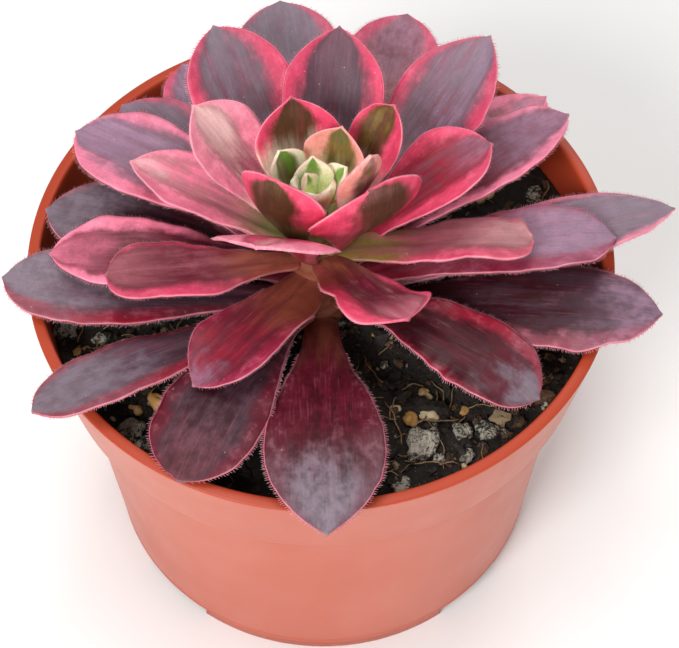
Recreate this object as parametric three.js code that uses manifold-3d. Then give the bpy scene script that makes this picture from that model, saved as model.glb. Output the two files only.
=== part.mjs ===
// A potted aeonium: a loose rosette of spoon-shaped fleshy leaves on a short leaning stem, in a round
// plastic nursery pot filled with gritty soil. Millimetres, +Z up, +X right, -Y front. The pieces are
// worked out with the pot's axis at X = Y = 0 and its feet at Z = 0. The group is then moved so that the
// origin lies below the middle of the whole plant's bounding box.
import * as THREE from "three";
import { mergeVertices } from "three/addons/utils/BufferGeometryUtils.js";
import Module from "manifold-3d";

const wasm = await Module();
wasm.setup();

const GAP = 0.3; // air left between pieces that touch

// Driving dimensions of the pot.
const POT_RADIUS = 76;
const POT_HEIGHT = 112;
const RIM_WIDTH = 3.2; // flat top of the rim
const COLLAR_HEIGHT = 27; // wider band below the rim
const COLLAR_FOOT_RADIUS = 71.7;
const COLLAR_STEP = 3; // height in which the body widens to meet the collar
const BODY_TOP_RADIUS = 67.5;
const BODY_FOOT_RADIUS = 62;
const WALL = 1.8;
const FLOOR_THICKNESS = 2.4;
const FOOT_HEIGHT = 5; // the ring under the body, cut into feet
const FOOT_COUNT = 4;
const FOOT_GAP_DEG = 22; // open arc between two feet
const FOOT_GAP_DEPTH = 8; // how far a gap reaches each way from the body's foot radius
const FOOT_INSET = 0.4; // the ring stands a little inside the body
const BEAD = 0.5; // thin raised line round the foot of the body
const BEAD_HEIGHT = 1.6;
const EDGE = 0.7; // bevel on the rim's outer edge
const DRAIN_HOLES = 6;
const DRAIN_HOLE_RADIUS = 5;
const DRAIN_CIRCLE_RADIUS = 42;
const POT_SIDES = 72;

// Driving dimensions of the soil.
const SOIL_TOP = 98.5;
const SOIL_BUMP = 1.1; // height of its waves
const SOIL_WAVE = [7.3, 6.1, 4.4]; // their spread across, along and aslant
const SOIL_MOUND = 1.5; // rise towards the stem
const SOIL_MOUND_RADIUS = 40;
const SOIL_LEVEL_RADIUS = [55, 70]; // the waves die out between these
const SOIL_SIDES = 48;
const SOIL_RINGS = 9;
const LUMP_COUNT = 34; // coarse grains that stand out of it
const LUMP_RADIUS = [1.6, 3.4];
const LUMP_SINK = 0.2; // share of its radius that a grain is sunk
const LUMP_CLEARING = 16; // none nearer the pot's axis than this
const LUMP_MARGIN = 3; // and none nearer the wall
const SEED = 11;

// Driving dimensions of the stem and the leaves.
const STEM_FOOT = new THREE.Vector3(0.5, -11, 84);
const STEM_TOP = new THREE.Vector3(-1.2, -4.1, 132);
const STEM_RADIUS = 7;
const STEM_TOP_RADIUS = 3.6;
const STEM_NECK_Z = 114; // the stem tapers above this
const STEM_SIDES = 16;
const ROOT_WIDTH = 5.2;
const ROOT_THICKNESS = 2.6;
const BLADE_THICKNESS = 2; // along the middle of a blade
const MARGIN_THICKNESS = 0.8;
const TIP_TAPER = 0.5; // share of the thickness lost towards the tip
const BLADE_FULL_AT = 0.68; // share of the length at which a blade is widest
const BLUNT_FULL_AT = 0.06; // and how much further out a square-tipped one is
const LEAF_STATIONS = 11;
const LEAF_LANES = 4;
const BUD_RADIUS = 3.2; // closed middle of the rosette, on top of the stem
const BUD_HEIGHT = 7;

// Leaves, roughly from the lowest to the highest. turn: compass angle from +X, anticlockwise. up: height
// of the root. rise: slope at the root. curl: change of slope along the leaf. flick: more of it in the last
// third. roll: turn about its own length. cup: how far the margins stand up, as a share of the half width.
// sweep: sideways bend. blunt: 0 for a pointed tip, 1 for a square one.
const LEAVES = [
  // name, turn, up, rise, curl, flick, length, width, roll, cup, sweep, blunt
  ["leaf_low_front", -88.5, 102, 30, -34, 0, 71, 29, 0, 0.05, 0, 0],
  ["leaf_low_front_left", -124, 105, 30, -44, 0, 63, 27, 6, 0, 12, 0.5],
  ["leaf_low_left_front", -147, 102, 22, -21, 0, 75, 20, 18, 0.1, -2, 0.6],
  ["leaf_low_left", -167, 105.2, 16, -17, 0, 74, 22, 0, 0.1, -24, 0.5],
  ["leaf_low_right_front", -34.5, 108.4, 27, -48, 0, 59, 23, -5, 0.1, 0, 0.4],
  ["leaf_low_right", -10, 102, 18, -14, 0, 80, 26, 0, 0, 0, 0.2],
  ["leaf_low_right_back", 10, 104.8, 15, -11, 0, 86, 21, -6, 0.15, 0, 0],
  ["leaf_low_back_right", 42, 106, 19, -20, 0, 75, 24, 0, 0.1, 0, 0],
  ["leaf_low_back", 73, 102.6, 23, -9, 0, 76, 27, 0, 0.15, 0, 0.5],
  ["leaf_low_back_left", 98, 105.4, 22, -9, 0, 76, 30, 0, 0.15, 0, 0.4],
  ["leaf_low_left_back", 120, 102, 21, -14, 0, 70, 24, 0, 0.15, 0, 0.5],
  ["leaf_mid_left_back", 138, 106, 23, -16, 0, 65, 24, 0, 0.15, 0, 0.4],
  ["leaf_mid_left_upper", 166, 108.4, 18, -23, 0, 66, 25, 0, 0.1, 0, 0.2],
  ["leaf_mid_left", 179, 111.6, 20, -27, 0, 61, 20, -4, 0.15, 0, 0.2],
  ["leaf_mid_left_front", -159, 119.3, 16, -18, -4, 47, 17, 4, 0.2, -21, 0.9],
  ["leaf_mid_front_left", -120, 115.5, 20, -26, -18, 42, 21, 10, 0.15, -19, 0],
  ["leaf_mid_front_right", -60, 121.5, 21, -6, 0, 31, 23, -24, 0.1, 18, 0.7],
  ["leaf_mid_right", 5, 108.4, 21, -16, -12, 69, 22, -8, 0.1, -3, 0.4],
  ["leaf_mid_right_back", 32.5, 111.6, 18, -15, 0, 71, 22, -10, 0.2, 0, 0],
  ["leaf_high_left_upper", 151.5, 117.6, 17, -20, 0, 65, 25, 0, 0.25, 0, 0.2],
  ["leaf_high_right", -5, 121.5, 11, -6, -10, 47.5, 18.5, -22, 0.1, 8, 0.9],
  ["leaf_high_back_right", 50, 114.8, 19, 10, 0, 67, 25, 0, 0.25, 0, 0],
  ["leaf_high_back_left", 116.5, 114.8, 24, 10, 0, 60.5, 27, 0, 0.25, 0, 0.2],
  ["leaf_high_back", 84, 118, 25, 13, 0, 53, 26, 0, 0.25, 0, 0],
  ["leaf_high_left", 160, 121.2, 16, 1, 0, 45, 20, 12, 0.3, 0, 0],
  ["leaf_high_right_back", 24, 118, 27, 0, 0, 45, 24, -10, 0.35, 0, 0.3],
  ["leaf_high_front_left", -119, 124.3, 73, -37, 0, 36.5, 31, 17, -0.05, 0, 0.2],
  ["leaf_inner_left", 145, 125, 29, 20, 0, 40, 21, 0, 0.3, 0, 0.2],
  ["leaf_inner_right_back", 48, 122, 43, 20, 0, 36, 15, 0, 0.35, 0, 0.5],
  ["leaf_inner_back", 105, 122, 48, 22, 0, 34, 22, 0, 0.3, 0, 0],
  ["leaf_inner_front_left", -141, 127.7, 57, 42, 0, 29.5, 23, 22, 0.3, 0, 0.2],
  ["leaf_inner_front_right", -25, 125.8, 43, 58, 0, 27, 31, -36.5, 0.1, 0, 0.3],
  ["leaf_core_back", 66, 127.5, 56, 20, 0, 24.5, 16, 0, 0.35, 0, 0.2],
  ["leaf_core_right", -14, 131, 66, 16, 0, 30, 12, -40, 0.15, 0, 0],
  ["leaf_core_left", 137, 129, 62, 18, 0, 20, 12, 0, 0.35, 0, 0.4],
];

// The closed middle: small leaves fused to a bud, listed in the same way.
const HEART_LEAVES = [
  [95, 134, 66, 14, 0, 15, 10, 0, 0.4, 0, 0],
  [22, 134, 48, 26, 0, 15, 9, 0, 0.4, 0, 0.3],
  [185, 134, 55, 30, 0, 13, 9, 0, 0.4, 0, 0.3],
  [-40, 135, 55, 34, 0, 12, 9, 0, 0.4, 0, 0.3],
  [-105, 135, 58, 30, 0, 11, 8, 0, 0.4, 0, 0],
  [140, 137, 70, 20, 0, 9, 6, 0, 0.4, 0, 0],
];

const rad = THREE.MathUtils.degToRad;
const smooth = (t) => {
  const c = Math.min(1, Math.max(0, t));
  return c * c * (3 - 2 * c);
};

// ---- closed solids and Booleans ----

// Three.js geometry without normals, its shared corners merged, as a Manifold solid.
function solid(geometry) {
  const plain = geometry.clone();
  for (const name of ["normal", "uv"]) plain.deleteAttribute(name);
  const merged = mergeVertices(plain, 1e-4);
  const vertProperties = new Float32Array(merged.attributes.position.array);
  const triVerts = new Uint32Array(merged.index.array);
  return new wasm.Manifold(new wasm.Mesh({ numProp: 3, vertProperties, triVerts }));
}

function geometryOf(manifold) {
  const mesh = manifold.getMesh();
  const geometry = new THREE.BufferGeometry();
  geometry.setAttribute("position", new THREE.BufferAttribute(new Float32Array(mesh.vertProperties), 3));
  geometry.setIndex(Array.from(mesh.triVerts));
  return geometry;
}

// A profile of [radius, height] turned about the Z axis.
function turned(profile, sides) {
  const points = profile.map(([r, z]) => new THREE.Vector2(r, z));
  return new THREE.LatheGeometry(points, sides).rotateX(Math.PI / 2);
}

// A closed solid through rows of points. Each row goes once round its section, over the top and back beneath.
function skin(rows) {
  const n = rows[0].length;
  const positions = rows.flat().flatMap((p) => [p.x, p.y, p.z]);
  const faces = [];
  const quad = (a, b, c, d) => faces.push(a, b, c, a, c, d);
  const mirrored = (a, b, c, d) => faces.push(b, c, d, b, d, a);
  for (let i = 0; i < rows.length - 1; i++) {
    for (let j = 0; j < n; j++) {
      const k = (j + 1) % n;
      const corner = [i * n + j, (i + 1) * n + j, (i + 1) * n + k, i * n + k];
      if (j < n / 2) quad(...corner);
      else mirrored(...corner);
    }
  }
  const last = (rows.length - 1) * n;
  for (let j = 0; j < n / 2 - 1; j++) {
    const other = n - 1 - j;
    quad(j, j + 1, other - 1, other);
    quad(last + j, last + other, last + other - 1, last + j + 1);
  }
  const geometry = new THREE.BufferGeometry();
  geometry.setAttribute("position", new THREE.Float32BufferAttribute(positions, 3));
  geometry.setIndex(faces);
  return geometry;
}

// ---- the pot ----

// Outside radius of the collar at height z.
function collarRadius(z) {
  const t = (z - (POT_HEIGHT - COLLAR_HEIGHT)) / COLLAR_HEIGHT;
  return COLLAR_FOOT_RADIUS + (POT_RADIUS - COLLAR_FOOT_RADIUS) * t;
}

// Inside of the pot from the floor to the rim, moved inwards by `inset`.
function potInside(inset) {
  const ledge = POT_HEIGHT - COLLAR_HEIGHT + WALL;
  return [
    [BODY_FOOT_RADIUS - WALL - inset, FOOT_HEIGHT + FLOOR_THICKNESS + inset],
    [BODY_TOP_RADIUS - WALL - inset, ledge - COLLAR_STEP - 1],
    [collarRadius(ledge) - WALL - inset, ledge],
    [POT_RADIUS - RIM_WIDTH - inset, POT_HEIGHT],
  ];
}

function potGeometry() {
  const ledge = POT_HEIGHT - COLLAR_HEIGHT;
  const footInner = BODY_FOOT_RADIUS - 2 * WALL;
  const inside = potInside(0);
  const outline = [
    [0, FOOT_HEIGHT],
    [footInner, FOOT_HEIGHT],
    [footInner, 0],
    [BODY_FOOT_RADIUS - FOOT_INSET, 0],
    [BODY_FOOT_RADIUS - FOOT_INSET, FOOT_HEIGHT],
    [BODY_FOOT_RADIUS + BEAD, FOOT_HEIGHT + BEAD_HEIGHT / 3],
    [BODY_FOOT_RADIUS, FOOT_HEIGHT + BEAD_HEIGHT],
    [BODY_TOP_RADIUS, ledge - COLLAR_STEP],
    [COLLAR_FOOT_RADIUS - EDGE, ledge],
    [COLLAR_FOOT_RADIUS, ledge + EDGE],
    [POT_RADIUS, POT_HEIGHT - EDGE],
    [POT_RADIUS - EDGE, POT_HEIGHT],
    ...inside.reverse(),
    [0, FOOT_HEIGHT + FLOOR_THICKNESS],
  ];
  let pot = solid(turned(outline, POT_SIDES));
  for (let i = 0; i < FOOT_COUNT; i++) {
    const width = 2 * BODY_FOOT_RADIUS * Math.sin(rad(FOOT_GAP_DEG / 2));
    const gap = new THREE.BoxGeometry(2 * FOOT_GAP_DEPTH, width, 2 * FOOT_HEIGHT);
    gap.translate(BODY_FOOT_RADIUS, 0, 0).rotateZ(rad(45 + (i * 360) / FOOT_COUNT));
    pot = pot.subtract(solid(gap));
  }
  for (let i = 0; i < DRAIN_HOLES; i++) {
    const hole = new THREE.CylinderGeometry(DRAIN_HOLE_RADIUS, DRAIN_HOLE_RADIUS, 4 * FOOT_HEIGHT, 16);
    hole.rotateX(Math.PI / 2).translate(DRAIN_CIRCLE_RADIUS, 0, FOOT_HEIGHT);
    hole.rotateZ(rad((i * 360) / DRAIN_HOLES));
    pot = pot.subtract(solid(hole));
  }
  return geometryOf(pot);
}

// ---- the soil ----

// A repeatable draw between 0 and 1.
function draw(state) {
  state.value = (state.value * 1664525 + 1013904223) % 4294967296;
  return state.value / 4294967296;
}

// Height of the soil's surface: low waves that die out at the wall.
function soilHeight(x, y) {
  const r = Math.hypot(x, y);
  const [acrossWave, alongWave, aslantWave] = SOIL_WAVE;
  const [from, to] = SOIL_LEVEL_RADIUS;
  const waves = Math.sin(x / acrossWave + 1) * Math.cos(y / alongWave) + 0.7 * Math.sin((x + y) / aslantWave);
  const mound = SOIL_MOUND * (1 - smooth(r / SOIL_MOUND_RADIUS));
  return SOIL_TOP + mound + SOIL_BUMP * waves * (1 - smooth((r - from) / (to - from)));
}

function soilGeometry() {
  const inside = potInside(GAP).slice(0, 3);
  const t = (SOIL_TOP - inside[2][1]) / COLLAR_HEIGHT;
  const edge = inside[2][0] + (POT_RADIUS - RIM_WIDTH - GAP - inside[2][0]) * t;
  const profile = [[0, inside[0][1]], ...inside, [edge, SOIL_TOP]];
  for (let i = SOIL_RINGS - 1; i >= 0; i--) profile.push([(edge * i) / SOIL_RINGS, SOIL_TOP]);
  const geometry = turned(profile, SOIL_SIDES);
  const points = geometry.attributes.position;
  for (let i = 0; i < points.count; i++) {
    if (points.getZ(i) < SOIL_TOP - 0.01) continue;
    points.setZ(i, soilHeight(points.getX(i), points.getY(i)));
  }
  let soil = solid(geometry);
  const state = { value: SEED };
  for (let i = 0; i < LUMP_COUNT; i++) {
    const radius = THREE.MathUtils.lerp(...LUMP_RADIUS, draw(state) ** 2);
    const away = THREE.MathUtils.lerp(LUMP_CLEARING, edge - radius - LUMP_MARGIN, Math.sqrt(draw(state)));
    const turn = 2 * Math.PI * draw(state);
    const lump = new THREE.IcosahedronGeometry(radius, 0);
    lump.rotateZ(2 * Math.PI * draw(state)).rotateX(2 * Math.PI * draw(state));
    const x = away * Math.cos(turn);
    const y = away * Math.sin(turn);
    lump.translate(x, y, soilHeight(x, y) - LUMP_SINK * radius);
    soil = soil.add(solid(lump));
  }
  return geometryOf(soil.subtract(solid(stemGeometry(GAP, STEM_FOOT.z - GAP))));
}

// ---- the stem ----

function stemPoint(z) {
  const t = (z - STEM_FOOT.z) / (STEM_TOP.z - STEM_FOOT.z);
  return new THREE.Vector3().lerpVectors(STEM_FOOT, STEM_TOP, t);
}

function stemRadius(z) {
  const neck = smooth((z - STEM_NECK_Z) / (STEM_TOP.z - STEM_NECK_Z));
  return STEM_RADIUS + (STEM_TOP_RADIUS - STEM_RADIUS) * neck;
}

// The stem from height `from` to its top, `extra` wider all round.
function stemGeometry(extra, from) {
  const rows = [];
  const steps = 12;
  for (let i = 0; i <= steps; i++) {
    const z = THREE.MathUtils.lerp(from, STEM_TOP.z, i / steps);
    const middle = stemPoint(z);
    const radius = stemRadius(z) + extra;
    const row = [];
    for (let j = 0; j < STEM_SIDES; j++) {
      const a = (2 * Math.PI * j) / STEM_SIDES;
      row.push(new THREE.Vector3(middle.x + radius * Math.cos(a), middle.y - radius * Math.sin(a), z));
    }
    rows.push(row);
  }
  return skin(rows);
}

// ---- the leaves ----

// Half width of a leaf blade as a share of its greatest, at s from 0 at the root to 1 at the tip.
function outline(s, root, blunt) {
  const full = BLADE_FULL_AT + BLUNT_FULL_AT * blunt;
  if (s < full) {
    return root + (1 - root) * Math.sin((Math.PI / 2) * Math.pow(s / full, 1.25)) ** 2;
  }
  const t = (s - full) / (1 - full);
  return Math.pow(Math.max(0, 1 - t ** (2.1 + 1.5 * blunt)), 0.8 - 0.3 * blunt);
}

function leafGeometry([turn, up, rise, curl, flick, length, width, roll, cup, sweep, blunt], start) {
  const rootWidth = Math.min(ROOT_WIDTH, width * 0.3);
  const outwards = new THREE.Vector3(Math.cos(rad(turn)), Math.sin(rad(turn)), 0);
  const place = stemPoint(up).addScaledVector(outwards, start);
  const rows = [];
  const fine = 4;
  for (let i = 0; i <= LEAF_STATIONS * fine; i++) {
    const s = i / (LEAF_STATIONS * fine);
    const slope = rad(rise + curl * s + flick * smooth((s - 0.6) / 0.4));
    const heading = rad(turn + sweep * s);
    const along = new THREE.Vector3(
      Math.cos(slope) * Math.cos(heading),
      Math.cos(slope) * Math.sin(heading),
      Math.sin(slope),
    );
    if (i > 0) place.addScaledVector(along, length / (LEAF_STATIONS * fine));
    if (i % fine) continue;
    const across = new THREE.Vector3(-Math.sin(heading), Math.cos(heading), 0);
    across.applyAxisAngle(along, rad(roll) * smooth(s / 0.5));
    const normal = new THREE.Vector3().crossVectors(along, across);
    const half = Math.max(0.6, (width / 2) * outline(s, rootWidth / width, blunt));
    const taper = 1 - TIP_TAPER * smooth((s - 0.8) / 0.2);
    const middle = THREE.MathUtils.lerp(ROOT_THICKNESS, BLADE_THICKNESS, smooth(s / 0.6)) * taper;
    const top = [];
    const under = [];
    for (let j = 0; j <= LEAF_LANES; j++) {
      const v = (2 * j) / LEAF_LANES - 1;
      const thick = MARGIN_THICKNESS + (middle - MARGIN_THICKNESS) * (1 - v * v);
      const raised = cup * half * v * v * smooth(s / 0.3);
      const p = place.clone().addScaledVector(across, v * half).addScaledVector(normal, raised);
      top.push(p.clone().addScaledVector(normal, thick / 2));
      under.push(p.clone().addScaledVector(normal, -thick / 2));
    }
    rows.push([...top, ...under.reverse()]);
  }
  return skin(rows);
}

// How far from the stem's axis a leaf's root starts, so that its tilted end stays clear of the bark.
function rootStart(up, rise) {
  return stemRadius(up) + GAP + 0.2 + (ROOT_THICKNESS / 2) * Math.sin(rad(Math.abs(rise)));
}

function heartGeometry() {
  const foot = STEM_TOP.clone().add(new THREE.Vector3(0, 0, GAP));
  const bud = new THREE.SphereGeometry(BUD_RADIUS, 12, 8).rotateX(Math.PI / 2);
  bud.scale(1, 1, BUD_HEIGHT / (2 * BUD_RADIUS)).translate(foot.x, foot.y, foot.z + BUD_HEIGHT / 2);
  let heart = solid(bud);
  for (const leaf of HEART_LEAVES) heart = heart.add(solid(leafGeometry(leaf, 1)));
  return geometryOf(heart);
}

// ---- the whole plant ----

const plant = new THREE.Group();

function addMesh(name, geometry, color, roughness) {
  const mesh = new THREE.Mesh(geometry, new THREE.MeshStandardMaterial({ color, roughness, metalness: 0 }));
  mesh.name = name;
  plant.add(mesh);
}

addMesh("pot", potGeometry(), 0xd97b6a, 0.4);
addMesh("soil", soilGeometry(), 0x2a2320, 0.95);
addMesh("stem", stemGeometry(0, STEM_FOOT.z), 0x6e4a3a, 0.8);
for (const [name, ...leaf] of LEAVES) {
  addMesh(name, leafGeometry(leaf, rootStart(leaf[1], leaf[2])), 0x8a4560, 0.5);
}
addMesh("leaf_heart", heartGeometry(), 0xb8c878, 0.5);

const middle = new THREE.Box3().setFromObject(plant).getCenter(new THREE.Vector3());
plant.position.set(-middle.x, -middle.y, 0);

export default plant;
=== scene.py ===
"""A potted aeonium round its fixed frame: marked leaves with hairy margins, gritty soil, a nursery pot.

Shapes are worked out in millimetres about the pot's axis, with the pot's feet at zero, and each finished mesh
is then moved to the frame's own metres by PLACE.
"""
import random
from math import atan2, copysign, cos, exp, hypot, pi, radians, sin, sqrt

import bmesh
import bpy
from mathutils import Matrix, Vector, noise


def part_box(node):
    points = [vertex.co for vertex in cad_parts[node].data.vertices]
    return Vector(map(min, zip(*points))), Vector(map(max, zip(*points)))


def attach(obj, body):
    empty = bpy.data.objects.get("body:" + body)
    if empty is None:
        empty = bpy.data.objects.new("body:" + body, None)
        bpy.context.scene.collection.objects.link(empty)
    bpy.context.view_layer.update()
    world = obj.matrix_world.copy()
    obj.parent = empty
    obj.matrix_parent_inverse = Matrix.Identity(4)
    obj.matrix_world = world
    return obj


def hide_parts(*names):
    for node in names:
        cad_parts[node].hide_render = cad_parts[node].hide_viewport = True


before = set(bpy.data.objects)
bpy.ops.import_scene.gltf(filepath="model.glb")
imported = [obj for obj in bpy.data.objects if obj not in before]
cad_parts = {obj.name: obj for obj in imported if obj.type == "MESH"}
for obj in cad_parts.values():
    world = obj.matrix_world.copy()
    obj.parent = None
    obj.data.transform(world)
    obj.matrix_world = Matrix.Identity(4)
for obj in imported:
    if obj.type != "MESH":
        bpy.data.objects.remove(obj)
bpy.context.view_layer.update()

bl_info = {
    "name": "Potted Aeonium",
    "version": (1, 0, 0),
    "blender": (4, 5, 0),
    "location": "View3D > Sidebar > Aeonium",
    "description": "Builds a variegated aeonium in a nursery pot, piece by piece",
    "category": "Add Mesh",
}

MM = 0.001
POT_LOW, POT_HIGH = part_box("pot")
POT_AXIS = ((POT_LOW[0] + POT_HIGH[0]) / 2, (POT_LOW[1] + POT_HIGH[1]) / 2)
POT_RADIUS = (POT_HIGH[0] - POT_LOW[0]) / 2 / MM
POT_HEIGHT = (POT_HIGH[2] - POT_LOW[2]) / MM
PLACE = Matrix.Translation((POT_AXIS[0], POT_AXIS[1], POT_LOW[2])) @ Matrix.Scale(MM, 4)

# The stem, in millimetres about the pot's axis.
STEM_FOOT = Vector((0.5, -11, 84))
STEM_TOP = Vector((-1.2, -4.1, 132))
STEM_RADIUS = 7
STEM_TOP_RADIUS = 3.6
STEM_NECK_Z = 114

# The pot, in millimetres.
RIM_WIDTH = 3.2
COLLAR_HEIGHT = 27
LEDGE = POT_HEIGHT - COLLAR_HEIGHT
COLLAR_FOOT_RADIUS = 71.7
COLLAR_STEP = 3
BODY_TOP_RADIUS = 67.5
BODY_FOOT_RADIUS = 62
WALL = 1.8
FLOOR_THICKNESS = 2.4
FOOT_HEIGHT = 5
FOOT_COUNT = 4
FOOT_GAP_DEG = 22
DRAIN_HOLE_COUNT = 6
DRAIN_CIRCLE_RADIUS = 42
DRAIN_HOLE_RADIUS = 5

# The soil, in millimetres, and the air between it and the wall.
SOIL_TOP = 98.5
SOIL_FOOT = 7.7
SOIL_BUMP = 1.1
SOIL_MOUND = 1.5
SOIL_GAP = 0.35

# How a leaf meets the stem and how thick it is, in millimetres; between which shares of its length it has
# hairs, and how deep they are sunk in its margin.
LEAF_GAP = 0.5
LEAF_SINK = 0.4
THICK_NEAR_STEM = 2.6
THICK_FURTHER_OUT = 2.0
HAIRS_FROM = 0.2
HAIRS_TO = 0.985
HAIR_SINK = 0.12

# Where the random draws start for the hairs, and for the shapes and the looks of the heart's leaves.
HAIR_SEED = 5
BUD_SHAPE_SEED = 40
BUD_LOOK_SEED = 50

# The stage, in metres: the floor's half width, the height on the pot's axis that the lamps are aimed at, and
# each lamp's place from there, its width, and its power in watts.
FLOOR_SIZE = 3
AIM_HEIGHT = 0.1
LAMPS = {
    "key": ((-0.55, -0.9, 0.85), 0.5, 13.5),
    "fill": ((0.5, -0.9, 0.3), 0.7, 2.4),
    "top": ((-0.1, 0.05, 1.1), 0.5, 4.5),
    "back": ((0.3, 0.8, 0.7), 0.5, 2.6),
}
SKY_STRENGTH = 0.34

# What the camera looks at, in millimetres about the pot's axis.
CAMERA_TARGET = Vector((4.788, 0, 77.52))

# What each point of a leaf holds: its side (-1 to 1), its run along the blade (0 to 1), and in millimetres
# how far it is from the margin, across the blade and along it.
LEAF_ATTRIBUTES = ("side", "run", "rim_mm", "across_mm", "along_mm")

# The material slot of each ring of leaves. A leaf's ring is the second word of its name.
RING_SLOTS = {
    "low": "leaf_outer",
    "mid": "leaf_outer",
    "high": "leaf_upper",
    "inner": "leaf_inner",
    "core": "leaf_inner",
}
HAIRY_RINGS = ("low", "mid", "high", "inner")

# Leaves, roughly from the lowest to the highest: turn, height of the root, rise, curl, flick, length, width,
# roll, cup, sweep, bluntness. Angles are in degrees, and a turn runs anticlockwise from +X.
LEAVES = {
    "leaf_low_front": (-88.5, 102, 30, -34, 0, 71, 29, 0, 0.05, 0, 0),
    "leaf_low_front_left": (-124, 105, 30, -44, 0, 63, 27, 6, 0, 12, 0.5),
    "leaf_low_left_front": (-147, 102, 22, -21, 0, 75, 20, 18, 0.1, -2, 0.6),
    "leaf_low_left": (-167, 105.2, 16, -17, 0, 74, 22, 0, 0.1, -24, 0.5),
    "leaf_low_right_front": (-34.5, 108.4, 27, -48, 0, 59, 23, -5, 0.1, 0, 0.4),
    "leaf_low_right": (-10, 102, 18, -14, 0, 80, 26, 0, 0, 0, 0.2),
    "leaf_low_right_back": (10, 104.8, 15, -11, 0, 86, 21, -6, 0.15, 0, 0),
    "leaf_low_back_right": (42, 106, 19, -20, 0, 75, 24, 0, 0.1, 0, 0),
    "leaf_low_back": (73, 102.6, 23, -9, 0, 76, 27, 0, 0.15, 0, 0.5),
    "leaf_low_back_left": (98, 105.4, 22, -9, 0, 76, 30, 0, 0.15, 0, 0.4),
    "leaf_low_left_back": (120, 102, 21, -14, 0, 70, 24, 0, 0.15, 0, 0.5),
    "leaf_mid_left_back": (138, 106, 23, -16, 0, 65, 24, 0, 0.15, 0, 0.4),
    "leaf_mid_left_upper": (166, 108.4, 18, -23, 0, 66, 25, 0, 0.1, 0, 0.2),
    "leaf_mid_left": (179, 111.6, 20, -27, 0, 61, 20, -4, 0.15, 0, 0.2),
    "leaf_mid_left_front": (-159, 119.3, 16, -18, -4, 47, 17, 4, 0.2, -21, 0.9),
    "leaf_mid_front_left": (-120, 115.5, 20, -26, -18, 42, 21, 10, 0.15, -19, 0),
    "leaf_mid_front_right": (-60, 121.5, 21, -6, 0, 31, 23, -24, 0.1, 18, 0.7),
    "leaf_mid_right": (5, 108.4, 21, -16, -12, 69, 22, -8, 0.1, -3, 0.4),
    "leaf_mid_right_back": (32.5, 111.6, 18, -15, 0, 71, 22, -10, 0.2, 0, 0),
    "leaf_high_left_upper": (151.5, 117.6, 17, -20, 0, 65, 25, 0, 0.25, 0, 0.2),
    "leaf_high_right": (-5, 121.5, 11, -6, -10, 47.5, 18.5, -22, 0.1, 8, 0.9),
    "leaf_high_back_right": (50, 114.8, 19, 10, 0, 67, 25, 0, 0.25, 0, 0),
    "leaf_high_back_left": (116.5, 114.8, 24, 10, 0, 60.5, 27, 0, 0.25, 0, 0.2),
    "leaf_high_back": (84, 118, 25, 13, 0, 53, 26, 0, 0.25, 0, 0),
    "leaf_high_left": (160, 121.2, 16, 1, 0, 45, 20, 12, 0.3, 0, 0),
    "leaf_high_right_back": (24, 118, 27, 0, 0, 45, 24, -10, 0.35, 0, 0.3),
    "leaf_high_front_left": (-119, 124.3, 73, -37, 0, 36.5, 31, 17, -0.05, 0, 0.2),
    "leaf_inner_left": (145, 125, 29, 20, 0, 40, 21, 0, 0.3, 0, 0.2),
    "leaf_inner_right_back": (48, 122, 43, 20, 0, 36, 15, 0, 0.35, 0, 0.5),
    "leaf_inner_back": (105, 122, 48, 22, 0, 34, 22, 0, 0.3, 0, 0),
    "leaf_inner_front_left": (-141, 127.7, 57, 42, 0, 29.5, 23, 22, 0.3, 0, 0.2),
    "leaf_inner_front_right": (-25, 125.8, 43, 58, 0, 27, 31, -36.5, 0.1, 0, 0.3),
    "leaf_core_back": (66, 127.5, 56, 20, 0, 24.5, 16, 0, 0.35, 0, 0.2),
    "leaf_core_right": (-14, 131, 66, 16, 0, 30, 12, -40, 0.15, 0, 0),
    "leaf_core_left": (137, 129, 62, 18, 0, 20, 12, 0, 0.35, 0, 0.4),
}

# Small leaves of the closed middle, in the same terms, and each one's look.
HEART = (
    ((95, 134, 66, 14, 0, 15, 10, 0, 0.4, 0, 0), "bud_green"),
    ((22, 134, 48, 26, 0, 15, 9, 0, 0.4, 0, 0.3), "bud_green"),
    ((185, 134, 55, 30, 0, 13, 9, 0, 0.4, 0, 0.3), "bud_cream"),
    ((-40, 135, 55, 34, 0, 12, 9, 0, 0.4, 0, 0.3), "bud_cream"),
    ((-105, 135, 58, 30, 0, 11, 8, 0, 0.4, 0, 0), "bud_cream"),
    ((140, 137, 70, 20, 0, 9, 6, 0, 0.4, 0, 0), "bud_green"),
)

# Leaves whose necks are broader than the others', in millimetres.
BROAD_NECKS = {
    "leaf_low_front": 9,
    "leaf_low_right_front": 8.6,
    "leaf_mid_left_front": 6.4,
    "leaf_mid_front_left": 10,
    "leaf_mid_front_right": 10,
    "leaf_high_right": 8.6,
    "leaf_high_left": 8.4,
    "leaf_high_front_left": 8,
    "leaf_inner_left": 9,
    "leaf_inner_back": 9,
    "leaf_inner_front_left": 9.4,
    "leaf_inner_front_right": 9,
    "leaf_core_back": 8,
    "leaf_core_right": 6.5,
    "leaf_core_left": 6.5,
}

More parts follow.
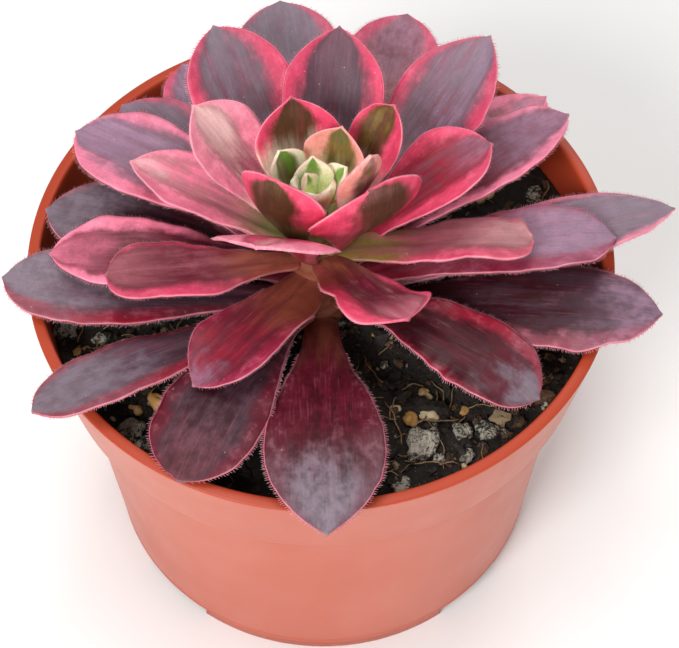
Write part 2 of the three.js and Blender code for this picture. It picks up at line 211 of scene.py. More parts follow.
# Folds in a leaf's margin: where along it, which side (1 is anticlockwise), how deep the dent is (less than 0
# for a lobe), how long it is and how far its edge stands up, in millimetres.
FOLDS = {
    "leaf_low_right_front": ((0.66, -1, 2.0, 1.6, 2.2), (0.58, -1, 0.8, 1.5, 0.9)),
    "leaf_high_right": ((0.97, 1, 0.6, 1.6, 1.4), (0.4, -1, -2.6, 9, 0), (0.9, -1, 2.4, 8, 0.3)),
    "leaf_mid_right_back": ((0.93, 1, 0.5, 4.0, 1.3),),
    "leaf_mid_front_right": ((0.78, -1, 2.2, 6, 0.6), (0.86, 1, -1.8, 4, 0), (0.3, -1, -2, 6, 0)),
    "leaf_mid_left_front": ((0.44, 1, -3.0, 8, 0), (0.86, 1, 1.4, 5, 0.5)),
    "leaf_mid_front_left": ((0.2, 1, -3.2, 9, 0),),
    "leaf_inner_front_right": ((0.97, 1, 0.8, 1.5, 0.8),),
    "leaf_high_front_left": ((0.98, -1, 0.8, 1.5, 0.6),),
    "leaf_low_front_left": ((0.88, 1, 0.6, 2.0, 0.6),),
    "leaf_low_right": ((0.9, -1, 0.5, 2.5, 0.4),),
    "leaf_inner_right_back": ((0.97, 1, 0.7, 1.4, 0.5),),
}

# How each leaf is marked. First the colours of its middle, of the darker streaks, of its margins, of the
# powdery tip and of its neck; the grey at the tip is partly the leaf's own powder and partly painted sky
# sheen. Then the share of the half width that the margin colour takes on the anticlockwise and on the
# clockwise side, where the neck ends and where the powder and painted sheen start along it, and how strong
# they are.
MARKS = {
    "leaf_low_front": ("maroon wine wine slate russet", 0.3, 0.3, 0.22, 0.74, 0.95),
    "leaf_low_front_left": ("maroon dusk wine mauve russet", 0.34, 0.3, 0.15, 0.8, 0.35),
    "leaf_low_left_front": ("plum dusk crimson slate wine", 0.34, 0.16, 0.15, 0.66, 0.85),
    "leaf_low_left": ("plum dusk crimson slate wine", 0.36, 0.02, 0.2, 0.68, 0.95),
    "leaf_low_right_front": ("wine maroon crimson slate russet", 0.44, 0.14, 0.25, 0.82, 0.85),
    "leaf_low_right": ("dusk maroon mauve lilac wine", 0.06, 0.3, 0.2, 0.84, 0.7),
    "leaf_low_right_back": ("lilac plum pink slate mauve", 0.14, 0.16, 0.2, 0.66, 0.8),
    "leaf_low_back_right": ("lilac dusty_rose pink pink mauve", 0.45, 0.45, 0.2, 0.8, 0.5),
    "leaf_low_back": ("mauve dusty_rose rose lilac mauve", 0.34, 0.34, 0.2, 0.8, 0.6),
    "leaf_low_back_left": ("lilac plum rose slate mauve", 0.16, 0.24, 0.2, 0.7, 0.8),
    "leaf_low_left_back": ("lilac plum rose lilac mauve", 0.34, 0.24, 0.2, 0.7, 0.5),
    "leaf_mid_left_back": ("lilac plum rose slate mauve", 0.28, 0.16, 0.2, 0.66, 0.6),
    "leaf_mid_left_upper": ("dusk maroon mauve slate wine", 0.1, 0.2, 0.2, 0.7, 0.8),
    "leaf_mid_left": ("mauve wine pink pink wine", 0.24, 0.3, 0.3, 0.86, 0.5),
    "leaf_mid_left_front": ("mauve wine rose dusty_rose russet", 0.34, 0.12, 0.36, 0.84, 0.5),
    "leaf_mid_front_left": ("crimson wine magenta lilac russet", 0.3, 0.16, 0.42, 0.9, 0.7),
    "leaf_mid_front_right": ("dusty_rose wine hot_pink pink russet", 0.16, 0.44, 0.3, 0.86, 0.4),
    "leaf_mid_right": ("lilac mauve magenta lilac crimson", 0.1, 0.42, 0.3, 0.6, 0.9),
    "leaf_mid_right_back": ("mauve wine pink lilac wine", 0.16, 0.34, 0.25, 0.66, 0.7),
    "leaf_high_left_upper": ("lilac plum pink lilac rose", 0.4, 0.2, 0.25, 0.7, 0.6),
    "leaf_high_right": ("dusty_rose mauve rose blush olive", 0.08, 0.32, 0.34, 0.7, 0.25),
    "leaf_high_back_right": ("lilac plum rose slate crimson", 0.22, 0.28, 0.2, 0.76, 0.6),
    "leaf_high_back_left": ("slate plum rose slate dusty_rose", 0.3, 0.4, 0.3, 0.84, 0.6),
    "leaf_high_back": ("plum dusk rose plum mauve", 0.32, 0.36, 0.3, 0.86, 0.5),
    "leaf_high_left": ("pink dusty_rose pink blush moss", 0.6, 0.3, 0.3, 0.86, 0.5),
    "leaf_high_right_back": ("mauve crimson hot_pink lilac crimson", 0.2, 0.5, 0.25, 0.86, 0.5),
    "leaf_high_front_left": ("rose crimson pink blush russet", 0.62, 0.62, 0.1, 0.86, 0.5),
    "leaf_inner_left": ("blush mauve pink blush cream", 0.55, 0.52, 0.3, 0.66, 0.6),
    "leaf_inner_right_back": ("olive bark hot_pink bark blush", 0.34, 0.6, 0.5, 0.95, 0.2),
    "leaf_inner_back": ("bark bark hot_pink bark cream", 0.4, 0.46, 0.62, 0.95, 0.2),
    "leaf_inner_front_left": ("bark bark hot_pink moss moss", 0.5, 0.42, 0.46, 0.95, 0.2),
    "leaf_inner_front_right": ("bark bark hot_pink dusty_rose olive", 0.2, 0.72, 0.14, 0.95, 0.4),
    "leaf_core_back": ("moss olive salmon moss lime", 0.6, 0.4, 0.6, 0.95, 0.3),
    "leaf_core_right": ("olive dusty_rose salmon blush cream", 0.5, 0.6, 0.45, 0.9, 0.4),
    "leaf_core_left": ("leaf_green moss cream leaf_green lime", 0.5, 0.5, 0.4, 0.95, 0.3),
    "bud_green": ("leaf_green leaf_green cream leaf_green lime", 0.64, 0.64, 0.74, 0.9, 0.4),
    "bud_cream": ("lime cream cream cream lime", 0.3, 0.3, 0.4, 0.7, 0.7),
}


def paint(code):
    """A display colour such as "8d4a5a", as linear values."""
    parts = [int(code[i : i + 2], 16) / 255 for i in (0, 2, 4)]
    return tuple(p / 12.92 if p <= 0.04045 else ((p + 0.055) / 1.055) ** 2.4 for p in parts)


def opaque(colour):
    """A display colour or linear values, as linear values with an alpha of 1."""
    return (*(paint(colour) if isinstance(colour, str) else colour), 1)


def colour_property(name, code, description):
    return bpy.props.FloatVectorProperty(
        name=name, description=description, default=paint(code), subtype="COLOR", size=3, min=0, max=1
    )


def count_property(name, count, description, least=0):
    return bpy.props.IntProperty(name=name, description=description, default=count, min=least)


def length_property(name, millimetres, description):
    return bpy.props.FloatProperty(
        name=name,
        description=description,
        default=millimetres * MM,
        min=0,
        soft_max=10 * millimetres * MM,
        subtype="DISTANCE",
        unit="LENGTH",
    )


class LeafShape(bpy.types.PropertyGroup):
    """Sizes that every leaf shares"""

    stations: count_property("Stations", 54, "Rows along a leaf", 12)
    lanes: count_property("Lanes", 20, "Columns across a leaf", 4)
    neck_width: length_property("Neck width", 7.6, "Width of a leaf where it leaves the stem")
    edge: length_property("Edge thickness", 0.5, "Thickness of the blade at its margin")
    wave: length_property("Margin wave", 0.7, "How far the margins ripple")
    wander: length_property("Margin wander", 0.22, "How far the outline strays from an even curve")
    tip: length_property("Tip point", 0.55, "Length of the small point on the tip")
    hair: length_property("Hair length", 1.5, "Longest hair on a margin")
    hair_gap: length_property("Hair spacing", 0.5, "Distance between hairs along a margin")
    hair_width: length_property("Hair width", 0.3, "Width of a hair at its foot")


class LeafColours(bpy.types.PropertyGroup):
    """Colours that the leaves are marked with"""

    maroon: colour_property("Maroon", "380c14", "Darkest red of the lowest leaves")
    wine: colour_property("Wine", "5f1224", "Dark streaks and shaded blades")
    crimson: colour_property("Crimson", "961a32", "Front blade in full red")
    magenta: colour_property("Magenta", "9c1e42", "Margins of the lower leaves")
    rose: colour_property("Rose", "d64266", "Margins of the middle leaves")
    pink: colour_property("Pink", "f4829f", "Paler margins")
    hot_pink: colour_property("Hot pink", "ee4c70", "Margins of the inner leaves")
    salmon: colour_property("Salmon", "f8a698", "Margins of the youngest leaves")
    blush: colour_property("Blush", "ecc0bc", "Palest pink")
    dusty_rose: colour_property("Dusty rose", "ac686e", "Pink-brown blades")
    mauve: colour_property("Mauve", "8e4654", "Red-purple blades")
    plum: colour_property("Plum", "704b59", "Purple-grey blades")
    dusk: colour_property("Dusk", "4c333e", "Dark purple-grey blades")
    # Slate is mostly the grey at the tips: partly the leaves' own powder, partly painted sky sheen.
    slate: colour_property("Slate", "82747f", "Grey powder on the tips")
    lilac: colour_property("Lilac", "9a788f", "Pale purple blades")
    russet: colour_property("Russet", "8c4836", "Necks of the lower leaves")
    bark: colour_property("Olive brown", "553620", "Patch on the inner leaves")
    olive: colour_property("Olive", "7e6430", "Necks of the middle leaves")
    moss: colour_property("Moss", "72723e", "Patch on the youngest leaves")
    leaf_green: colour_property("Leaf green", "74a03c", "Tips of the heart")
    lime: colour_property("Lime", "ecf2b8", "Feet of the heart's leaves")
    cream: colour_property("Cream", "fff4d6", "Margins in the heart")
    edge: colour_property("Edge", "f2a2b0", "Thin pale edge of every blade")
    hair: colour_property("Hair", "fbe6e8", "Hairs on the margins")


class SoilLook(bpy.types.PropertyGroup):
    """What lies in the pot"""

    crumbs: count_property("Crumbs", 2300, "Dark crumbs on the soil")
    crumb: length_property("Crumb size", 1.5, "Radius of a middling crumb")
    lumps: count_property("Small perlite", 150, "Small white grains")
    pebbles: count_property("Gravel", 46, "Tan pebbles")
    roots: count_property("Fine roots", 90, "Thin roots lying on the soil")
    seed: count_property("Seed", 11, "Start of the random draws")
    earth: colour_property("Earth", "2f261f", "Dark potting soil")
    fibre: colour_property("Fibre", "5c402a", "Brown bark and coir in the soil")
    perlite: colour_property("Perlite", "b0a898", "White grains")
    gravel: colour_property("Gravel", "b98a4c", "Tan pebbles")
    root: colour_property("Root", "9c7e58", "Fine roots")


class PotLook(bpy.types.PropertyGroup):
    """Colours of the nursery pot: one plastic as a paler painted-lit outside and a deeper painted-shade rim
    and inner wall
    """

    sides: count_property("Sides", 180, "Faces round the pot", 24)
    # The outside colour is the plastic painted paler with light and sheen; the inside colour, on the rim and
    # the inner wall, is the same plastic painted deeper as shade.
    lit_outside: colour_property("Outside", "bc5f4a", "Paler outside of the pot")
    inside: colour_property("Inside", "b04228", "Rim and inner wall")


class StageLook(bpy.types.PropertyGroup):
    """Floor, lights and camera"""

    floor: colour_property("Floor", "f4f3f1", "Plain pale floor")
    elevation: bpy.props.FloatProperty(
        name="Elevation",
        description="Height of the camera above the horizon",
        default=radians(56.4),
        subtype="ANGLE",
        unit="ROTATION",
    )
    distance: length_property("Distance", 494.5, "From the camera to the middle of the plant")
    lens: bpy.props.FloatProperty(name="Lens", description="Focal length in millimetres", default=95.43)


def smooth(t):
    c = min(1.0, max(0.0, t))
    return c * c * (3 - 2 * c)


def lerp(a, b, t):
    return a + (b - a) * t


def level(angle, length=1.0):
    """A level arrow that points the way of an angle."""
    return Vector((length * cos(angle), length * sin(angle), 0))


def turned(degrees):
    return Matrix.Rotation(radians(degrees), 4, "Z")


# ---- materials ----


class Nodes:
    """Short ways to add nodes to one tree"""

    def __init__(self, tree):
        self.tree = tree

    def add(self, kind, inputs=None, **settings):
        made = self.tree.nodes.new("ShaderNode" + kind)
        for key, value in settings.items():
            setattr(made, key, value)
        for key, value in (inputs or {}).items():
            self.give(made.inputs[key], value)
        return made

    def give(self, socket, value):
        if isinstance(value, bpy.types.NodeSocket):
            self.tree.links.new(value, socket)
        else:
            socket.default_value = value

    def calc(self, operation, a, b=0.0, c=0.0):
        return self.add("Math", {0: a, 1: b, 2: c}, operation=operation).outputs[0]

    def plus(self, a, b):
        return self.calc("ADD", a, b)

    def less(self, a, b):
        return self.calc("SUBTRACT", a, b)

    def times(self, a, b, then_add=None):
        if then_add is None:
            return self.calc("MULTIPLY", a, b)
        return self.calc("MULTIPLY_ADD", a, b, then_add)

    def ramp(self, value, low, high, to_low=0.0, to_high=1.0):
        inputs = {"Value": value, "From Min": low, "From Max": high, "To Min": to_low, "To Max": to_high}
        return self.add("MapRange", inputs, interpolation_type="SMOOTHSTEP").outputs[0]

    def mix(self, share, under, over):
        """Two colours, each a socket or anything that opaque takes; share is how much of the second one."""
        under, over = (c if isinstance(c, bpy.types.NodeSocket) else opaque(c) for c in (under, over))
        return self.add("Mix", {0: share, 6: under, 7: over}, data_type="RGBA").outputs[2]

    def between(self, pattern, least, most):
        """A number that follows a noise between two values."""
        return self.ramp(pattern, 0.3, 0.7, least, most)

    def layered(self, colour, *layers):
        """A colour with others laid over it, each as (pattern, where it starts, is full, share, colour)."""
        for pattern, start, full, share, over in layers:
            colour = self.mix(self.ramp(pattern, start, full, 0, share), colour, over)
        return colour

    def attribute(self, name):
        return self.add("Attribute", attribute_name=name).outputs["Fac"]

    def noise(self, vector, scale, detail=3.0, roughness=0.55):
        inputs = {"Vector": vector, "Scale": scale, "Detail": detail, "Roughness": roughness}
        return self.add("TexNoise", inputs).outputs["Fac"]

    def dots(self, vector, scale):
        return self.add("TexVoronoi", {"Vector": vector, "Scale": scale}).outputs

    def specks(self, vector, scale, small, large):
        """Round specks in about one cell out of eight: 1 in each speck and 0 elsewhere."""
        cell = self.dots(vector, scale)
        chosen = self.ramp(self.add("SeparateColor", {0: cell["Color"]}).outputs[0], 0.86, 0.88)
        return self.times(self.ramp(cell["Distance"], small, large, 1, 0), chosen)

    def scaled(self, vector, factors):
        return self.add("VectorMath", {0: vector, 1: factors}, operation="MULTIPLY").outputs[0]

    def place(self):
        return self.add("TexCoord").outputs["Object"]


class Material(Nodes):
    """A new material, holding a Principled shader and the output until more nodes are added"""

    def __init__(self, name):
        self.made = bpy.data.materials.new(name)
        self.made.use_nodes = True
        super().__init__(self.made.node_tree)
        self.tree.nodes.clear()
        shader = self.add("BsdfPrincipled")
        self.add("OutputMaterial", {"Surface": shader.outputs[0]})
        self.shader = shader.inputs

    def dress(self, colour, roughness, height=None, strength=0.0, depth=0.0):
        """Gives the shader its colour, its roughness and perhaps a bump, whose depth is in millimetres."""
        self.give(self.shader["Base Color"], colour)
        self.give(self.shader["Roughness"], roughness)
        if height is not None:
            bump = self.add("Bump", {"Height": height, "Strength": strength, "Distance": depth * MM})
            self.give(self.shader["Normal"], bump.outputs[0])
        return self.made


def leaf_group():
    """The markings that all leaves share, from the attributes that each point of a leaf holds."""
    tree = bpy.data.node_groups.new("Leaf markings", "ShaderNodeTree")
    shares = ("Anticlockwise share", "Clockwise share", "Neck end", "Powder start", "Powder amount", "Seed")
    sockets = (
        ("INPUT", "NodeSocketColor", ("Middle", "Streak", "Margin", "Powder", "Neck", "Edge")),
        ("INPUT", "NodeSocketFloat", shares),
        ("OUTPUT", "NodeSocketColor", ("Colour",)),
        ("OUTPUT", "NodeSocketFloat", ("Roughness", "Height")),
    )
    for way, kind, names in sockets:
        for name in names:
            tree.interface.new_socket(name, in_out=way, socket_type=kind)
    n = Nodes(tree)
    given = tree.nodes.new("NodeGroupInput").outputs
    side, run, rim, across, along = (n.attribute(name) for name in LEAF_ATTRIBUTES)
    at = n.add("CombineXYZ", {"X": across, "Y": along, "Z": n.times(given["Seed"], 7.3)}).outputs[0]
    streaks = n.noise(n.scaled(at, (0.42, 0.045, 1)), 1.0, 4)
    fibres = n.noise(n.scaled(at, (2.2, 0.12, 1)), 1.0, 3)
    clouds = n.noise(n.scaled(at, (0.11, 0.07, 1)), 1.0, 3)
    blots = n.noise(n.scaled(at, (0.34, 0.26, 1.9)), 1.0, 4, 0.65)
    grain = n.noise(n.scaled(at, (1.9, 1.4, 1)), 1.0, 3)

    left = n.ramp(side, -0.05, 0.05)
    share = n.less(given["Anticlockwise share"], given["Clockwise share"])
    share = n.times(left, share, given["Clockwise share"])
    wander = n.times(streaks, 0.24, n.times(clouds, 0.6))
    wander = n.times(blots, 0.22, wander)
    reach = n.plus(n.calc("ABSOLUTE", side), n.less(wander, 0.53))
    reach = n.plus(reach, n.less(share, 1.0))
    margin = n.ramp(reach, -0.13, 0.2)
    halo = n.ramp(reach, -0.3, 0.0)

    depth = n.times(blots, 0.5, n.times(streaks, 0.5))
    depth = n.times(clouds, 0.4, n.less(depth, n.times(run, 0.2)))
    middle = n.mix(n.ramp(depth, 0.4, 0.68), given["Middle"], given["Streak"])
    # Towards the tip the powder colour is laid over the blade: partly the leaf's own grey powder, partly
    # painted sky sheen.
    drift = n.times(clouds, 0.5, n.times(blots, 0.25, run))
    powder_and_sheen = n.ramp(n.less(drift, n.plus(given["Powder start"], 0.37)), -0.14, 0.16)
    powder_and_sheen = n.times(powder_and_sheen, given["Powder amount"])
    powder_and_sheen = n.times(powder_and_sheen, n.ramp(blots, 0.3, 0.56, 0.78, 1))
    middle = n.mix(powder_and_sheen, middle, given["Powder"])
    middle = n.mix(n.times(halo, n.ramp(powder_and_sheen, 0.2, 0.9, 0.7, 0.15)), middle, given["Streak"])
    middle = n.mix(n.ramp(streaks, 0.54, 0.8, 0, 0.2), middle, given["Margin"])
    middle = n.mix(n.ramp(fibres, 0.54, 0.8, 0, 0.07), middle, given["Edge"])
    outer = n.times(clouds, 0.9, n.times(run, -1.0))
    outer = n.mix(n.ramp(outer, -0.15, 0.3, 0, 0.7), given["Margin"], given["Streak"])
    outer = n.mix(n.ramp(blots, 0.5, 0.7, 0, 0.12), outer, given["Edge"])
    # The margins take some of the same powder and painted sky sheen.
    outer = n.mix(n.times(powder_and_sheen, 0.4), outer, given["Powder"])
    colour = n.mix(margin, middle, outer)
    bloom = n.times(blots, 0.5, n.times(fibres, 0.5))
    bloom = n.times(n.ramp(bloom, 0.46, 0.66, 0, 0.15), n.ramp(clouds, 0.38, 0.6))
    bloom = n.times(bloom, given["Powder amount"])
    colour = n.mix(bloom, colour, given["Powder"])
    neck_run = n.times(streaks, 0.3, n.less(run, 0.15))
    neck = n.ramp(n.less(neck_run, given["Neck end"]), -0.2, 0.14, 1, 0)
    neck = n.times(neck, n.ramp(streaks, 0.42, 0.62, 1, 0.6))
    colour = n.mix(neck, colour, given["Neck"])
    line = n.ramp(n.times(grain, 0.3, rim), 0.16, 0.46, 0.62, 0)
    line = n.times(line, n.ramp(run, 0.08, 0.35, 0.25, 1))
    line = n.times(line, n.ramp(run, 0.95, 1.0, 1, 0.35))
    colour = n.mix(line, colour, given["Edge"])
    speck = n.specks(n.scaled(at, (0.5, 0.42, 1)), 1.0, 0.03, 0.09)
    colour = n.mix(n.times(speck, 0.45), colour, (0.9, 0.75, 0.78))
    tone = n.times(n.between(fibres, 0.94, 1.05), n.ramp(blots, 0.35, 0.65, 0.87, 1.08))
    tone = n.times(tone, n.between(grain, 0.95, 1.05))
    colour = n.add("VectorMath", {0: colour, "Scale": tone}, operation="SCALE").outputs[0]

    roughness = n.times(powder_and_sheen, 0.12, n.between(grain, 0.36, 0.48))
    height = n.times(fibres, 0.2, n.times(grain, 0.3))
    height = n.times(blots, 0.6, height)
    output = tree.nodes.new("NodeGroupOutput")
    for name, socket in (("Colour", colour), ("Roughness", roughness), ("Height", height)):
        tree.links.new(socket, output.inputs[name])
    return tree


def leaf_material(name, seed):
    colours = bpy.context.scene.aeonium_leaf_colours
    tints, *numbers = MARKS[name]
    nodes = Material(name + "_blade")
    marks = nodes.add("Group", node_tree=bpy.data.node_groups.get("Leaf markings") or leaf_group())
    tints = [opaque(getattr(colours, tint)) for tint in (*tints.split(), "edge")]
    for socket, value in zip(marks.inputs, (*tints, *numbers, seed)):
        socket.default_value = value
    nodes.shader["Specular IOR Level"].default_value = 0.32
    young = name.startswith(("bud", "leaf_core"))
    nodes.shader["Subsurface Weight"].default_value = 0.6 if young else 0.2
    nodes.shader["Subsurface Radius"].default_value = (1, 0.35, 0.3)
    nodes.shader["Subsurface Scale"].default_value = 1.6 * MM
    return nodes.dress(*marks.outputs[:3], strength=0.5, depth=0.3)


# ---- meshes ----


def new_object(mesh_data, name):
    """An object in the scene made from a bmesh, which is freed."""
    mesh = bpy.data.meshes.new(name)
    mesh_data.to_mesh(mesh)
    mesh_data.free()
    made = bpy.data.objects.new(name, mesh)
    bpy.context.scene.collection.objects.link(made)
    return made


def finish_piece(mesh_data, name, materials, slot, replaced=(), smooth_faces=True):
    """A piece from a bmesh in millimetres about the pot's axis: placed in the frame and ridden."""
    bmesh.ops.transform(mesh_data, matrix=PLACE, verts=mesh_data.verts)
    for face in mesh_data.faces:
        face.smooth = smooth_faces
    piece = new_object(mesh_data, name)
    for material in materials:
        piece.data.materials.append(material)
    if replaced:
        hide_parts(*replaced)
    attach(piece, "root")
    return piece


def gather(total, part):
    """Adds one bmesh to another and frees it."""
    held = bpy.data.meshes.new("held")
    part.to_mesh(held)
    part.free()
    total.from_mesh(held)
    bpy.data.meshes.remove(held)


def next_ring(tube, edges):
    """Grows a tube by one ring from its open edges, and gives the new ring's edges and corners."""
    made = bmesh.ops.extrude_edge_only(tube, edges=edges)["geom"]
    corners = [item for item in made if isinstance(item, bmesh.types.BMVert)]
    edges = [item for item in made if isinstance(item, bmesh.types.BMEdge)]
    return [edge for edge in edges if len(edge.link_faces) == 1], corners


def close_tube(tube, edges):
    """Caps a tube's open end and turns its faces outwards."""
    bmesh.ops.contextual_create(tube, geom=edges)
    bmesh.ops.recalc_face_normals(tube, faces=tube.faces)


def leaf_layers(mesh_data):
    return {name: mesh_data.verts.layers.float.new(name) for name in LEAF_ATTRIBUTES}


def stem_point(z):
    return STEM_FOOT.lerp(STEM_TOP, (z - STEM_FOOT.z) / (STEM_TOP.z - STEM_FOOT.z))


def stem_radius(z):
    neck = smooth((z - STEM_NECK_Z) / (STEM_TOP.z - STEM_NECK_Z))
    return lerp(STEM_RADIUS, STEM_TOP_RADIUS, neck)


class Blade:
    """The shape of one leaf: where a point s along and v across it lies"""

    STEPS = 176

    def __init__(self, row, start, seed, neck, sink=0.0, folds=()):
        shape = bpy.context.scene.aeonium_leaf_shape
        turn, up, rise, curl, flick, length, width, roll, cup, sweep, blunt = row
        self.length, self.width, self.cup, self.blunt, self.seed = length, width, cup, blunt, seed
        self.root, self.folds = neck / width, folds
        self.first = -sink / length
        self.edge = shape.edge / MM
        self.wave = shape.wave / MM * min(1, width / 24)
        self.wander = shape.wander / MM * min(1, width / 24)
        self.tip = shape.tip / MM / length * min(1, width / 18)
        self.outwards = level(radians(turn))
        place = stem_point(up) + self.outwards * start
        self.frames = []
        step = length / self.STEPS
        last = int(self.STEPS * (1 + self.tip)) + 1
        for i in range(last + 1):
            s = i / self.STEPS
            slope = radians(rise + curl * s + flick * smooth((s - 0.6) / 0.4))
            heading = radians(turn + sweep * s)
            along = level(heading, cos(slope)) + Vector((0, 0, sin(slope)))
            if i:
                place = place + along * step
            across = Vector((-sin(heading), cos(heading), 0))
            across.rotate(Matrix.Rotation(radians(roll) * smooth(s / 0.5), 3, along))
            self.frames.append((place, along, across, along.cross(across)))

    def half(self, s):
        """Half the blade's width at s, in millimetres."""
        if s < 0:
            return self.root * self.width / 2 * (1 - 0.25 * s / self.first)
        if s > 1:
            return 0.08 + 0.72 * max(0, 1 - (s - 1) / self.tip) ** 1.2
        full = 0.68 + 0.06 * self.blunt
        if s < full:
            share = self.root + (1 - self.root) * sin(pi / 2 * (s / full) ** 1.25) ** 2
        else:
            t = (s - full) / (1 - full)
            share = max(0, 1 - t ** (2.1 + 1.5 * self.blunt)) ** (0.8 - 0.3 * self.blunt)
        return max(0.8, share * self.width / 2)

    def at(self, s):
        """Place and directions (along, across, up) at s; below 0 the neck bends into the stem."""
        if s < 0:
            place, along, across, _ = self.frames[0]
            inwards = along.lerp(self.outwards + 0.4 * along, smooth(-s * self.length / 2.5)).normalized()
            return place + inwards * (s * self.length), inwards, across, inwards.cross(across)
        exact = s * self.STEPS
        i = min(int(exact), len(self.frames) - 2)
        return [a.lerp(b, exact - i) for a, b in zip(self.frames[i], self.frames[i + 1])]

    def point(self, s, v, face):
        """A point on the blade: face is 1 on top, -1 beneath and 0 in the middle of its thickness."""
        place, _, across, normal = self.at(s)
        half = self.half(s)
        middle = lerp(THICK_NEAR_STEM, THICK_FURTHER_OUT, smooth(s / 0.6))
        middle *= 1 - 0.55 * smooth((s - 0.8) / 0.25)
        thick = self.edge + (middle - self.edge) * (1 - v * v) ** 0.75
        away = abs(v) ** 3 * smooth(s / 0.3) * smooth((1.02 - s) / 0.15)
        side = 4.7 if v > 0 else 0
        ripple = 2 * self.wave * away * noise.noise(Vector((s * self.length / 7.5, side, self.seed * 1.7)))
        stray = noise.noise(Vector((s * self.length / 5, side, self.seed * 2.3 + 40)))
        stray *= 2 * self.wander * away
        for where, sign, depth, long, lift in self.folds:
            if v * sign > 0:
                near = exp(-(((s - where) * self.length / long) ** 2)) * smooth((abs(v) - 0.35) / 0.65)
                stray -= depth * near
                ripple += lift * near
        swell = 0.35 * noise.noise(Vector((v * half / 9, s * self.length / 12, self.seed))) * smooth(s / 0.3)
        groove = 0.55 * exp(-((v / 0.22) ** 2)) * smooth(s / 0.15) * smooth((0.9 - s) / 0.5)
        raised = self.cup * half * v * v * smooth(s / 0.3) + ripple + swell
        if face > 0:
            raised -= groove
        out = v * half + copysign(stray, v)
        return place + across * out + normal * (raised + face * thick / 2)


def leaf_bmesh(blade):
    """A closed leaf: a grid for its upper face, a copy for its under face, and a band that joins them."""
    shape = bpy.context.scene.aeonium_leaf_shape
    scale = min(1, 0.45 + blade.length / 90)
    stations = int(shape.stations * scale)
    lanes = int(shape.lanes * min(1, 0.5 + blade.width / 50) / 2) * 2
    grown = bmesh.new()
    layers = leaf_layers(grown)
    bmesh.ops.create_grid(grown, x_segments=lanes, y_segments=stations, size=1)
    upper = list(grown.verts)
    copied = bmesh.ops.duplicate(grown, geom=grown.verts[:] + grown.edges[:] + grown.faces[:])["geom"]
    under = [item for item in copied if isinstance(item, bmesh.types.BMVert)]
    for face, verts in ((1, upper), (-1, under)):
        for vert in verts:
            v = sin(vert.co.x * pi / 2) * 0.35 + vert.co.x * 0.65
            t = (vert.co.y + 1) / 2
            s = blade.first + (t + 0.32 * t * (1 - t)) * (1 + blade.tip - blade.first)
            half = blade.half(s)
            rim = min(half * (1 - abs(v)), max(0, 1 - s) * blade.length)
            for layer, value in zip(layers.values(), (v, s, rim, v * half, s * blade.length)):
                vert[layer] = value
            vert.co = blade.point(s, v, face)
    bmesh.ops.bridge_loops(grown, edges=[edge for edge in grown.edges if edge.is_boundary])
    bmesh.ops.recalc_face_normals(grown, faces=grown.faces)
    return grown


def blade_of(name, seed):
    """A leaf's shape, its neck sunk so far that its corners are inside the bark."""
    row = LEAVES[name]
    neck = BROAD_NECKS.get(name, min(bpy.context.scene.aeonium_leaf_shape.neck_width / MM, 0.36 * row[6]))
    radius = stem_radius(row[1])
    start = radius + LEAF_GAP + 1.3 * sin(radians(abs(row[2])))
    sink = start - max(0, radius**2 - (neck / 2) ** 2) ** 0.5 + LEAF_SINK
    return Blade(row, start, seed, neck, sink, FOLDS.get(name, ()))


def ring_of(name):
    return name.split("_")[1]


def hairs_on(blade, draw):
    """Short hairs that stand out from both margins of a leaf."""
    shape = bpy.context.scene.aeonium_leaf_shape
    size = min(1, 0.2 + blade.length / 80)
    gap = shape.hair_gap / MM / blade.length
    tuft = bmesh.new()
    shade = tuft.verts.layers.float.new("tip")
    for sign in (-1, 1):
        s = HAIRS_FROM
        while s < HAIRS_TO:
            s += gap * draw.uniform(0.7, 1.3)
            foot = blade.point(s, sign, 0)
            _, along, across, normal = blade.at(s)
            lean = along * draw.uniform(0.1, 0.6) + normal * draw.uniform(-0.25, 0.35)
            way = (across * sign + lean).normalized()
            length = shape.hair / MM * size * draw.uniform(0.55, 1)
            turn = way.to_track_quat("Z", "Y").to_matrix().to_4x4()
            centre = foot + way * (length / 2 - HAIR_SINK)
            made = bmesh.ops.create_cone(
                tuft,
                segments=3,
                radius1=shape.hair_width / MM / 2 * size,
                radius2=0,
                depth=length,
                matrix=Matrix.Translation(centre) @ turn,
            )
            for vert in made["verts"]:
                vert[shade] = (vert.co - foot).dot(way) / length
    return tuft


class AEONIUM_OT_leaves(bpy.types.Operator):
    """Build the 35 separate leaves of the rosette"""

    bl_idname = "aeonium.leaves"
    bl_label = "Leaves"

    def execute(self, context):
        for seed, name in enumerate(LEAVES):
            grown = leaf_bmesh(blade_of(name, seed))
            slot = RING_SLOTS[ring_of(name)]
            finish_piece(grown, name + "_blade", [leaf_material(name, seed)], slot, [name])
        return {"FINISHED"}


class AEONIUM_OT_hairs(bpy.types.Operator):
    """Build the hairs on the margins of the leaves"""

    bl_idname = "aeonium.hairs"
    bl_label = "Margin Hairs"

    def execute(self, context):
        colours = context.scene.aeonium_leaf_colours
        nodes = Material("margin_hair")
        tip = nodes.attribute("tip")
        tint = nodes.mix(nodes.ramp(tip, 0, 1), colours.rose, colours.hair)
        made = nodes.dress(tint, nodes.ramp(tip, 0, 1, 0.5, 0.35))
        draw = random.Random(HAIR_SEED)
        for ring in HAIRY_RINGS:
            total = bmesh.new()
            for seed, name in enumerate(LEAVES):
                if ring_of(name) == ring:
                    gather(total, hairs_on(blade_of(name, seed), draw))
            finish_piece(total, f"hairs_{ring}", [made], RING_SLOTS[ring])
        return {"FINISHED"}


